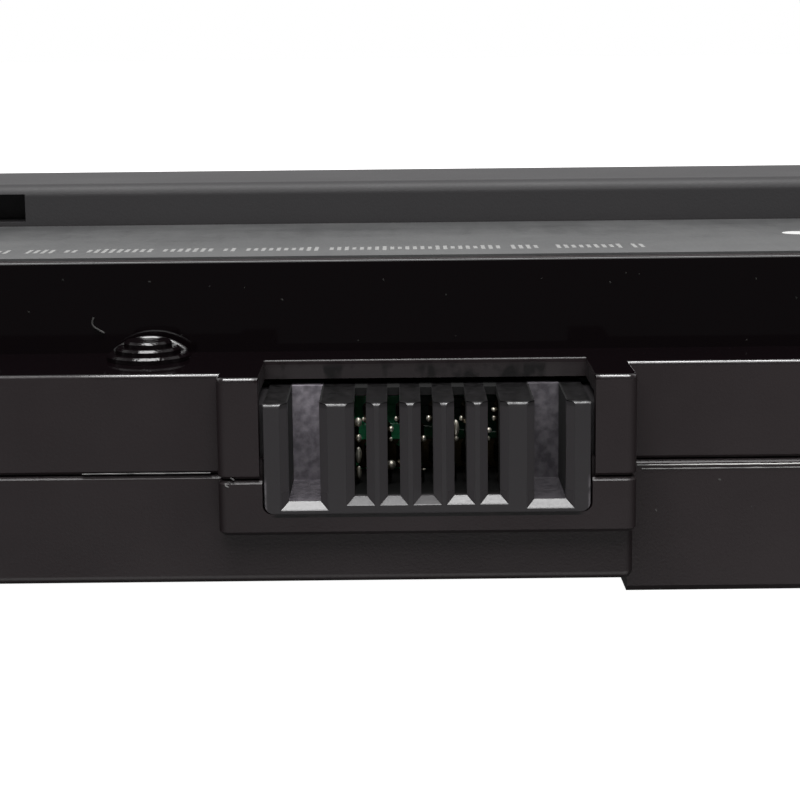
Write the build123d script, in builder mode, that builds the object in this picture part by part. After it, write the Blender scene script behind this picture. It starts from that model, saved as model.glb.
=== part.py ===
"""Six-cell notebook battery pack with a stepped connector edge.

+X runs along the pack, +Y goes from the connector edge to the raised rear band, +Z is up, on the label side.
The origin is the middle of the pack's underside. All sizes are in millimetres.
"""
import os

from build123d import *

# Cells, two rows end to end, every positive end to the right
cell_diameter = 18.3
cell_length = 65.0
cell_clearance = 0.1  # between a cell and the case, all round
row_gap = 0.2

# Nickel straps across the cell ends, and the ribbons that lead to the board
strap_names = ("negative", "low", "high", "positive")
strap_thickness = 0.2
strap_width = 8.0
strap_reach = 5.0  # past the axes of both cells
fold_gap = 0.5
tab_width = 3.0
tab_spacing = 0.8  # between an upper and a lower tab
tab_margin = 0.15  # below the board's top edge
foot_length = 5.0
lap_length = 4.0
pad_thickness = 2.5
pad_margin = 2.0  # inside the cells' outline

# Case
wall = 1.2
floor_wall = 1.1
roof_wall = 1.0
parting_height = 8.45
seam_gap = 0.12
lip_height = 1.2
lip_thickness = 0.5
lip_clearance = 0.08
ledge_height = 14.7
ledge_depth = 5.3  # from the plain front wall back to the glossy wall
tongue_reach = 3.2  # in front of the plain front wall
boss_reach = 1.75  # in front of the tongue
rebate_height = 1.7  # below the tongue
rebate_depth = 8.0
boss_floor_gap = 0.2  # between the floor of the boss and the connector block
band_rise = 3.2
band_depth = 15.0
corner_radius = 2.5
band_fillet = 0.9
edge_fillet = 0.22
seam_bevel = 0.18
boss_fillet = 0.6
foot_fillet = 0.5
sole_bevel = 0.4
tongue_left_reach = 62.0  # from the connector's middle
rib_thickness = 1.2
rib_height = 2.8
rib_clearance = 0.12
rib_offset = 18.0  # from the middle of each cell
rib_inset = 6.0  # from the front row's axis to the end of a rib
latch_spacing = 113.4
latch_width = 14.0
latch_height = 2.1
latch_depth = 3.4
latch_sill = 0.4
pip_offset = 17.4  # to the left of the connector's middle
pip_radius = 2.6
pip_tiers = 3
pip_step = 0.55  # inwards from one tier to the next
pip_rise = 0.4
pip_bevel = 0.14
pip_sink = 0.15  # into the glossy wall

# Connector
connector_x = -20.0
pitch = 2.0
contact_names = ("positive", "clock", "data", "sense", "negative")
slot_width = 0.74
lead_in = 0.48
slot_sill = 0.48  # below the mouth of a contact slot
guide_width = 1.9
guide_sill = 0.2
guide_land = 1.09  # rib between a guide slot's mouth and the next one
guide_depth = 6.4
end_land = 0.94
block_depth = 8.2
block_setback = 0.05
seat_drop = 2.05  # from the parting line down to the block's seat
roof_gap = 0.4  # between the block and the ledge above it
slot_roof = 0.5
open_top = 5.5  # length of slot that is open above
cavity_width = 1.44
cavity_start = 2.6
window_clearance = 0.3
window_depth = 6.75
window_radius = 0.55
window_fillet = 0.14
notch_clearance = 0.14
cheek_width = 2.5
flange_reach = 1.4
flange_depth = 6.4
flange_drop = 0.25
flange_clearance = 0.1
shelf_offset = 5.5
contact_thickness = 0.2
contact_clearance = 0.06
finger_sides = (-1, 1, -1, 1)  # from the bottom up
finger_slit = 0.18  # between one finger and the next above it
finger_gap = 0.3  # between the bumps of two opposite fingers
finger_tip = 3.2  # from the block's face to the tips
bump_back = 0.9
bump_length = 2.0
tip_flare = 0.24
contact_margin = 0.15  # above and below a contact
wing_length = 1.6
bridge_height = 1.8  # of the strip that joins the two wings on the board

# Board
board_thickness = 1.0
board_left_reach = 42.0  # from the connector's middle
board_right_reach = 30.0
board_foot = 0.3  # above the floor of the tongue
board_headroom = 0.4
guide_post_wall = 1.2
guide_post_gap = 0.15  # below the lower tabs
guide_post_grip = 2.0
board_clearance = 0.12
shield_thickness = 0.3
shield_headroom = 0.6
shield_gap = 0.4  # round what passes through the shield
fuse_length = 11.0
fuse_height = 3.6
fuse_thickness = 1.4
fuse_offset = 80.0  # to the right of the connector's middle
fuse_lead = 8.0
fuse_lead_width = 2.0
bead_diameter = 1.6
bead_length = 3.0
bead_offset = 25.0  # to the left of the connector's middle
bead_wire = 0.4
pin_thickness = 0.15
pin_width = 0.3
pin_reach = 1.0

# Label
label_thickness = 0.15
label_side_margin = 3.0
label_margin = 0.8
label_radius = 1.5

# Places along X
columns = len(strap_names) - 1
joint_gap = 2 * strap_thickness + fold_gap
column_pitch = cell_length + joint_gap
stack_length = columns * cell_length + (columns - 1) * joint_gap
stack_left = -stack_length / 2
stack_right = stack_length / 2
pack_length = stack_length + 2 * (strap_thickness + pad_thickness + wall)
end_x = pack_length / 2
block_half = 2 * pitch + slot_width / 2 + 3 * lead_in + guide_land + guide_width + end_land
guide_offset = block_half - end_land - lead_in - guide_width / 2
window_half = block_half + window_clearance
boss_half = window_half + cheek_width
boss_left = connector_x - boss_half
boss_right = connector_x + boss_half
tongue_left = connector_x - tongue_left_reach
board_left = connector_x - board_left_reach
board_right = connector_x + board_right_reach

# Places along Y
pack_depth = 2 * (wall + cell_clearance + cell_diameter) + row_gap + ledge_depth + tongue_reach + boss_reach
back_y = pack_depth / 2
boss_y = -pack_depth / 2
tongue_y = boss_y + boss_reach
main_y = tongue_y + tongue_reach
gloss_y = main_y + ledge_depth
rebate_y = tongue_y + rebate_depth
band_y = back_y - band_depth
row_back_y = back_y - wall - cell_clearance - cell_diameter / 2
row_front_y = row_back_y - cell_diameter - row_gap
cell_front_y = row_front_y - cell_diameter / 2
block_y = boss_y + block_setback
board_front = block_y + block_depth
board_back = board_front + board_thickness
shield_back = cell_front_y - cell_clearance
shield_front = shield_back - shield_thickness

# Heights
cell_z = floor_wall + cell_clearance + cell_diameter / 2
label_z = floor_wall + cell_diameter + 2 * cell_clearance + roof_wall
band_z = label_z + band_rise
cover_z = parting_height + seam_gap
tongue_floor = rebate_height + floor_wall
ledge_under = ledge_height - wall
block_bottom = parting_height - seat_drop
boss_bottom = block_bottom - boss_floor_gap - floor_wall
block_top = ledge_under - roof_gap
board_bottom = tongue_floor + board_foot
board_top = ledge_under - board_headroom
upper_tab_z = board_top - tab_margin - tab_width / 2
lower_tab_z = upper_tab_z - tab_width - tab_spacing
chip_z = (board_bottom + board_top) / 2
guide_post_top = lower_tab_z - tab_width / 2 - guide_post_gap

touch = 0.001
reach_out = 1.0  # how far a cut runs past the face that it opens


def front_plane(y):
    """Plane that faces the connector side at a depth, with X to the right and Z up."""
    return Plane(origin=(0, y, 0), x_dir=(1, 0, 0), z_dir=(0, -1, 0))


def area(x, y, mode=Mode.ADD):
    """Rectangle between two limits each way, in the current sketch."""
    with Locations(((x[0] + x[1]) / 2, (y[0] + y[1]) / 2)):
        Rectangle(x[1] - x[0], y[1] - y[0], mode=mode)


def cuboid(x, y, z, mode=Mode.ADD):
    """Block between two limits each way, in the current part."""
    with Locations((x[0], y[0], z[0])):
        Box(x[1] - x[0], y[1] - y[0], z[1] - z[0], align=(Align.MIN, Align.MIN, Align.MIN), mode=mode)


def main_area(inset):
    """Plain body of the case from above, in the current sketch."""
    area((-end_x + inset, end_x - inset), (main_y + inset, back_y - inset))


def step_area(inset):
    """Tongue and connector boss from above, in the current sketch."""
    area((tongue_left + inset, boss_right - inset), (tongue_y + inset, main_y + inset + wall))
    area((boss_left + inset, boss_right - inset), (boss_y + inset, tongue_y + inset + wall))


def at(shape, **place):
    """Whether the middle of an edge or a face lies at the given X, Y or Z."""
    return all(abs(getattr(shape.center(), name) - value) < touch for name, value in place.items())


def save(piece, name):
    piece.part.label = name
    export_step(piece.part, f"parts/{name}.step")


os.makedirs("parts", exist_ok=True)

# Bottom case
with BuildPart() as bottom_case:
    with BuildSketch():
        main_area(0)
    extrude(amount=parting_height)
    tongue_x = (tongue_left, boss_right)
    cuboid(tongue_x, (main_y - reach_out, rebate_y), (-reach_out, rebate_height), Mode.SUBTRACT)
    with BuildSketch(Plane.XY.offset(rebate_height)):
        area(tongue_x, (tongue_y, main_y + wall))
    extrude(amount=parting_height - rebate_height)
    with BuildSketch(Plane.XY.offset(boss_bottom)):
        area((boss_left, boss_right), (boss_y, tongue_y + wall))
    extrude(amount=parting_height - boss_bottom)
    uprights = bottom_case.edges().filter_by(Axis.Z)
    fillet(uprights.filter_by(lambda e: abs(abs(e.center().X) - end_x) < touch), corner_radius)
    uprights = bottom_case.edges().filter_by(Axis.Z)
    fillet(uprights.filter_by(lambda e: at(e, Y=boss_y) or at(e, X=boss_right, Y=tongue_y)), boss_fillet)
    edges = bottom_case.edges()
    chamfer(edges.filter_by(lambda e: at(e, Z=boss_bottom) and e.center().Y < tongue_y), edge_fillet)
    edges = bottom_case.edges().filter_by(Axis.X)
    fillet(edges.filter_by(lambda e: at(e, Y=tongue_y, Z=rebate_height)), foot_fillet)
    rim = bottom_case.faces().sort_by(Axis.Z)[-1]
    chamfer(rim.outer_wire().edges(), seam_bevel)
    sole = bottom_case.faces().sort_by(Axis.Z)[0]
    chamfer(sole.outer_wire().edges().filter_by(lambda e: e.center().Y > rebate_y + touch), sole_bevel)

    # Hollow, with a raised floor inside the tongue
    with BuildSketch(Plane.XY.offset(floor_wall)):
        main_area(wall)
        area((tongue_left - wall, boss_right + wall), (main_y, rebate_y + wall), Mode.SUBTRACT)
    extrude(amount=tongue_floor - floor_wall, mode=Mode.SUBTRACT)
    with BuildSketch(Plane.XY.offset(tongue_floor)):
        main_area(wall)
        area((tongue_left + wall, boss_right - wall), (tongue_y + wall, main_y + 2 * wall))
    extrude(amount=parting_height - tongue_floor, mode=Mode.SUBTRACT)
    with BuildSketch(Plane.XY.offset(boss_bottom + floor_wall)):
        area((boss_left + wall, boss_right - wall), (boss_y + wall, tongue_y + 2 * wall))
    extrude(amount=parting_height - boss_bottom - floor_wall, mode=Mode.SUBTRACT)

    # Lip that locates the cover
    with BuildSketch(Plane.XY.offset(parting_height)) as lip:
        main_area(wall - lip_thickness)
        step_area(wall - lip_thickness)
        with BuildSketch(mode=Mode.PRIVATE) as inside:
            main_area(wall)
            step_area(wall)
        add(inside.sketch, mode=Mode.SUBTRACT)
    extrude(amount=lip_height)

    # Notch for the connector block
    notch_half = block_half + notch_clearance
    with BuildSketch(front_plane(boss_y - reach_out)):
        notch_top = parting_height + lip_height + reach_out
        with Locations((connector_x, (block_bottom + notch_top) / 2)):
            notch = Rectangle(2 * notch_half, notch_top - block_bottom)
        fillet(notch.vertices().group_by(Axis.Y)[0], window_radius)
    extrude(amount=-(reach_out + wall + touch), mode=Mode.SUBTRACT)

    # Shelves below the connector block
    for side in (-1, 1):
        shelf_x = connector_x + side * shelf_offset
        cuboid(
            (shelf_x - rib_thickness / 2, shelf_x + rib_thickness / 2),
            (tongue_y + wall / 2, board_front - wall),
            (tongue_floor - floor_wall / 2, block_bottom),
        )

    # Guide posts that hold the board on edge
    for board_end, side, base in ((board_left, 1, tongue_floor), (board_right, -1, floor_wall)):
        outer = board_end - side * (guide_post_wall + board_clearance)
        inner = board_end + side * guide_post_grip
        cuboid(
            (min(outer, inner), max(outer, inner)),
            (board_front - guide_post_wall, board_back + guide_post_wall),
            (base - floor_wall / 2, guide_post_top),
        )
        slot_end = board_end - side * board_clearance
        cuboid(
            (min(slot_end, inner), max(slot_end, inner)),
            (board_front - board_clearance, board_back + board_clearance),
            (board_bottom, guide_post_top),
            Mode.SUBTRACT,
        )

    # Cradle ribs below the cells
    for column in range(columns):
        middle = stack_left + column * column_pitch + cell_length / 2
        for side in (-1, 1):
            with BuildSketch(Plane.YZ.offset(middle + side * rib_offset)):
                area((row_front_y - rib_inset, back_y - wall / 2), (floor_wall / 2, floor_wall + rib_height))
                with Locations((row_front_y, cell_z), (row_back_y, cell_z)):
                    Circle(cell_diameter / 2 + rib_clearance, mode=Mode.SUBTRACT)
            extrude(amount=rib_thickness / 2, both=True)
save(bottom_case, "bottom_case")

# Top cover
with BuildPart() as top_cover:
    with BuildSketch(Plane.YZ):
        area((main_y, back_y), (cover_z, ledge_height))
        area((gloss_y, back_y), (cover_z, label_z))
        area((band_y, back_y), (cover_z, band_z))
    extrude(amount=end_x, both=True)
    with BuildSketch(Plane.XY.offset(cover_z)):
        step_area(0)
    extrude(amount=ledge_height - cover_z)
    uprights = top_cover.edges().filter_by(Axis.Z)
    outside = uprights.filter_by(lambda e: abs(abs(e.center().X) - end_x) < touch)
    fillet(outside.filter_by(lambda e: at(e, Y=back_y) or at(e, Y=main_y)), corner_radius)
    uprights = top_cover.edges().filter_by(Axis.Z)
    fillet(uprights.filter_by(lambda e: at(e, Y=boss_y) or at(e, X=boss_right, Y=tongue_y)), boss_fillet)
    crown = top_cover.faces().sort_by(Axis.Z)[-1]
    fillet(crown.outer_wire().edges(), band_fillet)
    edges = top_cover.edges().filter_by(Axis.X)
    fillet(edges.filter_by(lambda e: at(e, Y=gloss_y, Z=label_z)), edge_fillet)
    ledge = top_cover.faces().filter_by(lambda f: at(f, Z=ledge_height)).sort_by(SortBy.AREA)[-1]
    fillet(ledge.outer_wire().edges().filter_by(lambda e: e.center().Y < gloss_y - touch), edge_fillet)
    rim = top_cover.faces().sort_by(Axis.Z)[0]
    chamfer(rim.outer_wire().edges(), seam_bevel)

    # Hollow
    with BuildSketch(Plane.YZ):
        low = cover_z - reach_out
        area((main_y + wall, back_y - wall), (low, ledge_under))
        area((gloss_y + wall, back_y - wall), (low, label_z - roof_wall))
        area((band_y + wall, back_y - wall), (low, band_z - roof_wall))
    extrude(amount=end_x - wall, both=True, mode=Mode.SUBTRACT)
    with BuildSketch(Plane.XY.offset(cover_z)):
        step_area(wall)
    extrude(amount=ledge_under - cover_z, mode=Mode.SUBTRACT)

    # Rabbet over the lip
    with BuildSketch(Plane.XY.offset(cover_z)):
        main_area(wall - lip_thickness - lip_clearance)
        step_area(wall - lip_thickness - lip_clearance)
    extrude(amount=lip_height - seam_gap, mode=Mode.SUBTRACT)

    # Window over the connector block
    cuboid(
        (connector_x - window_half, connector_x + window_half),
        (boss_y - reach_out, boss_y + window_depth),
        (cover_z - reach_out, ledge_height + reach_out),
        Mode.SUBTRACT,
    )
    edges = top_cover.edges().filter_by(Axis.X)
    fillet(edges.filter_by(lambda e: at(e, Y=boss_y + window_depth, Z=ledge_height)), window_fillet)

    # Latch pockets in the front of the raised band
    for side in (-1, 1):
        middle = side * latch_spacing / 2
        cuboid(
            (middle - latch_width / 2 - wall, middle + latch_width / 2 + wall),
            (band_y + wall / 2, band_y + latch_depth + wall),
            (label_z - roof_wall, band_z - roof_wall / 2),
        )
        cuboid(
            (middle - latch_width / 2, middle + latch_width / 2),
            (band_y - reach_out, band_y + latch_depth),
            (label_z + latch_sill, label_z + latch_sill + latch_height),
            Mode.SUBTRACT,
        )

    # Round stepped pip on the ledge, against the glossy wall
    axis_x = connector_x - pip_offset
    axis_y = gloss_y - pip_radius + pip_sink
    foot_z = ledge_height - wall / 2
    profile = [(axis_x, foot_z)]
    for tier in range(pip_tiers):
        tier_x = axis_x + pip_radius - tier * pip_step
        tier_z = ledge_height + (tier + 1) * pip_rise
        profile.append((tier_x, tier_z - pip_rise if tier else foot_z))
        profile.append((tier_x, tier_z - pip_bevel))
        profile.append((tier_x - pip_bevel, tier_z))
    profile.append((axis_x, tier_z))
    with BuildSketch(front_plane(axis_y)):
        with BuildLine():
            Polyline(*profile, close=True)
        make_face()
    revolve(axis=Axis((axis_x, axis_y, 0), (0, 0, 1)))

    # Ribs that press on the cells
    for column in range(columns):
        middle = stack_left + column * column_pitch + cell_length / 2
        with BuildSketch(Plane.YZ.offset(middle)):
            roof = label_z - roof_wall
            area((row_front_y - rib_inset, back_y - wall / 2), (roof - rib_height, roof + roof_wall / 2))
            area((band_y + wall / 2, back_y - wall / 2), (roof, band_z - roof_wall / 2))
            with Locations((row_front_y, cell_z), (row_back_y, cell_z)):
                Circle(cell_diameter / 2 + rib_clearance, mode=Mode.SUBTRACT)
        extrude(amount=rib_thickness / 2, both=True)
save(top_cover, "top_cover")

# Label on the top face
with BuildPart() as rating_label:
    with BuildSketch(Plane.XY.offset(label_z)):
        label_front = gloss_y + label_margin
        label_back = band_y - label_margin
        with Locations((0, (label_front + label_back) / 2)):
            RectangleRounded(2 * (end_x - label_side_margin), label_back - label_front, label_radius)
    extrude(amount=label_thickness)
save(rating_label, "rating_label")

# Connector housing
slot_places = [connector_x + (i - (len(contact_names) - 1) / 2) * pitch for i in range(len(contact_names))]
slot_floor = block_bottom + slot_sill + lead_in
guide_floor = block_bottom + guide_sill + lead_in
cavity_roof = block_top - slot_roof
with BuildPart() as connector_housing:
    block_x = (connector_x - block_half, connector_x + block_half)
    cuboid(block_x, (block_y, board_front), (block_bottom, block_top))
    fillet(connector_housing.edges().filter_by(Axis.Y).group_by(Axis.Z)[0], window_radius)
    flange_front = boss_y + wall + flange_clearance
    cuboid(
        (block_x[0] - flange_reach, block_x[1] + flange_reach),
        (flange_front, flange_front + flange_depth),
        (block_bottom, block_top - flange_drop),
    )
    mouth_top = block_top + reach_out
    mouths = [(x, slot_width / 2, slot_floor) for x in slot_places]
    mouths += [(connector_x + side * guide_offset, guide_width / 2, guide_floor) for side in (-1, 1)]
    for x, half, floor in mouths:
        guide = half > slot_width / 2
        deep = guide_depth if guide else open_top
        cuboid((x - half, x + half), (block_y, block_y + deep), (floor, mouth_top), Mode.SUBTRACT)
        edges = connector_housing.edges().filter_by(lambda e: at(e, Y=block_y))
        sides = edges.filter_by(lambda e: abs(abs(e.center().X - x) - half) < touch)
        sills = edges.filter_by(lambda e: at(e, X=x, Z=floor))
        chamfer(sides + sills, lead_in)
        if not guide:
            within = (floor, cavity_roof)
            cuboid((x - half, x + half), (block_y + lead_in, board_front), within, Mode.SUBTRACT)
            cavity_x = (x - cavity_width / 2, x + cavity_width / 2)
            cuboid(cavity_x, (block_y + cavity_start, board_front), within, Mode.SUBTRACT)
    brow = connector_housing.edges().filter_by(Axis.X).filter_by(lambda e: at(e, Y=block_y, Z=block_top))
    fillet(brow, edge_fillet)
save(connector_housing, "connector_housing")

# Spring contacts, each two wings joined on the board, with four staggered fingers
for name, x in zip(contact_names, slot_places):
    with BuildPart() as contact:
        plate_half = cavity_width / 2 - contact_clearance
        plate_z = (slot_floor + contact_margin, cavity_roof - contact_margin)
        finger_pitch = (plate_z[1] - plate_z[0]) / len(finger_sides)
        arm_x = plate_half - contact_thickness / 2
        bridge_z = (plate_z[0], plate_z[0] + bridge_height)
        cuboid((x - plate_half, x + plate_half), (board_front - contact_thickness, board_front), bridge_z)
        for side in (-1, 1):
            wing_x = sorted((x + side * plate_half, x + side * (plate_half - contact_thickness)))
            cuboid(wing_x, (board_front - wing_length, board_front), plate_z)
        for number, side in enumerate(finger_sides):
            with BuildSketch(Plane.XY.offset(plate_z[0] + number * finger_pitch)):
                with BuildLine():
                    bump_y = block_y + finger_tip + bump_back
                    bump_x = (finger_gap + contact_thickness) / 2
                    Polyline(
                        (x + side * arm_x, board_front - wing_length / 2),
                        (x + side * arm_x, bump_y + bump_length),
                        (x + side * bump_x, bump_y),
                        (x + side * (bump_x + tip_flare), bump_y - bump_back),
                    )
                trace(line_width=contact_thickness)
            extrude(amount=finger_pitch - finger_slit)
    save(contact, f"contact_{name}")

# Circuit board
with BuildPart() as circuit_board:
    cuboid((board_left, board_right), (board_front, board_back), (board_bottom, board_top))
    chamfer(circuit_board.edges().filter_by(Axis.Y), board_clearance * 4)
save(circuit_board, "circuit_board")


def board_plane(offset, facing):
    """Plane on a face of the board, beside the connector: facing -1 is its side, 1 the cell side."""
    face = board_front if facing < 0 else board_back
    return Plane(origin=(connector_x + offset, face, chip_z), x_dir=(1, 0, 0), z_dir=(0, facing, 0))


def chip(plane, length, width, height, pins, pin_pitch):
    """Moulded body with a row of bent pins along both sides."""
    with BuildPart(plane) as body:
        with BuildSketch(plane.offset(pin_thickness)):
            Rectangle(length, width)
        extrude(amount=height - pin_thickness)
        chamfer(body.faces().sort_by(Axis(plane.origin, plane.z_dir))[-1].edges(), pin_thickness)
        for side in (-1, 1):
            with BuildSketch(Plane(plane.origin, x_dir=plane.y_dir, z_dir=plane.x_dir)) as leg:
                with BuildLine():
                    Polyline(
                        (side * width / 2, height / 2),
                        (side * width / 2, height / 2 - pin_thickness),
                        (side * (width / 2 + pin_reach), 0),
                        (side * (width / 2 + pin_reach), pin_thickness),
                        close=True,
                    )
                make_face()
            for pin in range(pins):
                offset_x = (pin - (pins - 1) / 2) * pin_pitch
                foot = leg.sketch.moved(Location(plane.x_dir * offset_x))
                extrude(foot, amount=pin_width / 2, both=True)
    return body


# Chips with pins: place beside the connector, side of the board, body, pins in a row and their pitch
pinned_chips = {
    "gauge_chip": dict(place=(-24.0, -1), length=9.7, width=4.4, height=1.1, pins=8, pin_pitch=1.1),
    "protection_chip": dict(place=(-35.0, -1), length=8.6, width=3.9, height=1.4, pins=7, pin_pitch=1.15),
    "charge_transistor": dict(place=(-2.0, 1), length=4.9, width=3.9, height=1.5, pins=4, pin_pitch=1.15),
    "discharge_transistor": dict(place=(5.0, 1), length=4.9, width=3.9, height=1.5, pins=4, pin_pitch=1.15),
}
for name, size in pinned_chips.items():
    offset, facing = size.pop("place")
    save(chip(board_plane(offset, facing), **size), name)

# Small parts with no pins: place, side of the board, body, and spacings and counts of a grid of them
plain_chips = {
    "sense_resistor": dict(place=(13.5, 1), body=(6.3, 3.1, 0.7), spacing=(1.0, 1.0), counts=(1, 1)),
    "chemical_fuse": dict(place=(20.5, 1), body=(5.0, 3.4, 1.2), spacing=(1.0, 1.0), counts=(1, 1)),
    "chip_capacitors": dict(place=(-15.0, -1), body=(1.6, 0.8, 0.8), spacing=(2.6, 2.2), counts=(2, 4)),
    "chip_resistors": dict(place=(-32.0, 1), body=(1.6, 0.8, 0.5), spacing=(2.6, 1.8), counts=(3, 4)),
}
for name, size in plain_chips.items():
    with BuildPart(board_plane(*size["place"])) as bodies:
        with GridLocations(*size["spacing"], *size["counts"]):
            Box(*size["body"], align=(Align.CENTER, Align.CENTER, Align.MIN))
    save(bodies, name)

# Cells, each a sealed can with flush ends
rows = (row_front_y, row_back_y)
for number in range(2 * columns):
    with BuildPart() as cell:
        with BuildSketch(Plane.YZ.offset(stack_left + (number // 2) * column_pitch)):
            with Locations((rows[number % 2], cell_z)):
                Circle(cell_diameter / 2)
        extrude(amount=cell_length)
    save(cell, f"cell_{number + 1}")

# Straps: flat across the ends of the stack, folded double between two columns
strap_front = row_front_y - strap_reach
strap_x = {}
for number, name in enumerate(strap_names):
    at_end = number in (0, columns)
    leg_x = stack_left - strap_thickness if number == 0 else stack_left + number * column_pitch - joint_gap
    strap_x[name] = leg_x
    tab_z = upper_tab_z if at_end else lower_tab_z
    on_board = board_left < leg_x < board_right
    foot_y = board_back if on_board else board_back + strap_thickness
    foot_side = 1 if number == 0 else -1
    leg = (leg_x, leg_x + strap_thickness)
    with BuildPart() as strap:
        with BuildSketch(Plane.XZ.offset(-strap_front)):
            area(leg, (cell_z - strap_width / 2, cell_z + strap_width / 2))
            if not at_end:
                far = leg_x + joint_gap
                area((far - strap_thickness, far), (cell_z - strap_width / 2, cell_z + strap_width / 2))
                with Locations(((leg_x + far) / 2, cell_z + strap_width / 2)):
                    Circle(joint_gap / 2)
                    Circle(fold_gap / 2, mode=Mode.SUBTRACT)
                    with Locations((0, -joint_gap / 2)):
                        Rectangle(fold_gap, joint_gap, mode=Mode.SUBTRACT)
        extrude(amount=-(row_back_y - row_front_y + 2 * strap_reach))
        tab = (tab_z - tab_width / 2, tab_z + tab_width / 2)
        cuboid(leg, (foot_y, strap_front + strap_thickness), tab)
        foot_end = leg_x + strap_thickness / 2 + foot_side * foot_length
        foot = sorted((leg[0] if foot_side > 0 else leg[1], foot_end))
        cuboid(foot, (foot_y, foot_y + strap_thickness), tab)
    save(strap, f"strap_{name}")

# Ribbons from the straps to the board
upper = (upper_tab_z - tab_width / 2, upper_tab_z + tab_width / 2)
lower = (lower_tab_z - tab_width / 2, lower_tab_z + tab_width / 2)
on_face = (board_back, board_back + strap_thickness)
behind = (board_back + strap_thickness, board_back + 2 * strap_thickness)
fuse_x = connector_x + fuse_offset
fuse_left = fuse_x - fuse_length / 2 - fuse_lead
with BuildPart() as lead_negative:
    cuboid((strap_x["negative"], board_left + foot_length), on_face, upper)
save(lead_negative, "lead_negative")
with BuildPart() as lead_high:
    cuboid((board_right - foot_length, strap_x["high"] + strap_thickness), on_face, lower)
save(lead_high, "lead_high")
with BuildPart() as lead_positive:
    cuboid((board_right - foot_length, board_right + 2 * lap_length), on_face, upper)
    cuboid((board_right + lap_length, fuse_left + lap_length), behind, upper)
save(lead_positive, "lead_positive")

# Thermal fuse in the positive lead
with BuildPart() as thermal_fuse:
    middle_y = board_back + strap_thickness / 2
    cuboid(
        (fuse_x - fuse_length / 2, fuse_x + fuse_length / 2),
        (middle_y - fuse_thickness / 2, middle_y + fuse_thickness / 2),
        (upper_tab_z - fuse_height / 2, upper_tab_z + fuse_height / 2),
    )
    fillet(thermal_fuse.edges().filter_by(Axis.X), fuse_thickness / 3)
    lead_z = (upper_tab_z - fuse_lead_width / 2, upper_tab_z + fuse_lead_width / 2)
    cuboid((fuse_left, stack_right), on_face, lead_z)
save(thermal_fuse, "thermal_fuse")

# Thermistor bead against a cell, on two wires from the board
bead_x = connector_x - bead_offset
bead_y = cell_front_y - cell_clearance - bead_diameter / 2
with BuildPart() as thermistor:
    with BuildSketch(Plane.YZ.offset(bead_x)):
        with Locations((bead_y, cell_z)):
            Circle(bead_diameter / 2)
    extrude(amount=bead_length / 2, both=True)
    for side in (-1, 1):
        with BuildSketch(front_plane(board_back)):
            with Locations((bead_x + side * bead_length / 4, cell_z)):
                Rectangle(bead_wire, bead_wire)
        extrude(amount=board_back - bead_y)
save(thermistor, "thermistor")

# Insulating sheet between the board and the cells, open for the thermistor and the low strap
with BuildPart() as board_shield:
    shield_y = (shield_front, shield_back)
    cuboid((board_left, board_right), shield_y, (floor_wall, ledge_under - shield_headroom))
    bead_room = bead_diameter / 2 + shield_gap
    bead_span = bead_length / 2 + shield_gap
    cuboid(
        (bead_x - bead_span, bead_x + bead_span),
        shield_y,
        (cell_z - bead_room, cell_z + bead_room),
        Mode.SUBTRACT,
    )
    tab_x = strap_x["low"]
    cuboid(
        (tab_x - shield_gap, tab_x + strap_thickness + shield_gap),
        shield_y,
        (lower[0] - shield_gap, lower[1] + shield_gap),
        Mode.SUBTRACT,
    )
save(board_shield, "board_shield")

# Foam pads at both ends of the cell stack
pad_half = cell_diameter / 2 - pad_margin
for name, pad_x in (
    ("left", (-end_x + wall, stack_left - strap_thickness)),
    ("right", (stack_right + strap_thickness, end_x - wall)),
):
    with BuildPart() as end_pad:
        cuboid(pad_x, (row_front_y - pad_half, row_back_y + pad_half), (cell_z - pad_half, cell_z + pad_half))
    save(end_pad, f"end_pad_{name}")
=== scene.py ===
import math
import random

import bmesh
import bpy
from mathutils import Matrix, Vector


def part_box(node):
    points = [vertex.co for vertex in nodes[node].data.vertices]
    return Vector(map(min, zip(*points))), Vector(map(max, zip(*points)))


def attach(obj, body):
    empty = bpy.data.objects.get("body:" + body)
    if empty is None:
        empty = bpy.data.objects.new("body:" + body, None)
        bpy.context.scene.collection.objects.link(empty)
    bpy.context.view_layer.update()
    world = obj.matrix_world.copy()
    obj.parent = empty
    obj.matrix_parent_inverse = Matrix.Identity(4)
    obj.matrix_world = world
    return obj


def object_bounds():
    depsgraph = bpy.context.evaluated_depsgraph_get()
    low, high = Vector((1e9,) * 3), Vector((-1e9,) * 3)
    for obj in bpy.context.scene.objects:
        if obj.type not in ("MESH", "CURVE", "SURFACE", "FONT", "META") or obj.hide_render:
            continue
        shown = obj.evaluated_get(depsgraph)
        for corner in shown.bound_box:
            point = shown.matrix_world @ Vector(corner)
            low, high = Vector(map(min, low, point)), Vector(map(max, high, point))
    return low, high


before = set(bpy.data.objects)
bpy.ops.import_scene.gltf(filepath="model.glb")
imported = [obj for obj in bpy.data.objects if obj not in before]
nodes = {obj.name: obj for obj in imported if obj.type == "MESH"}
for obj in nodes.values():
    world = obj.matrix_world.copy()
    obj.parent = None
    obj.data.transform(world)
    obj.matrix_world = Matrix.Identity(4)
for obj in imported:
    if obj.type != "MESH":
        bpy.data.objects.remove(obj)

cadLow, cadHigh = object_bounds()
scene = bpy.context.scene
mm = 0.001
print("frame loaded:", len(nodes), "nodes")

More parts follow.
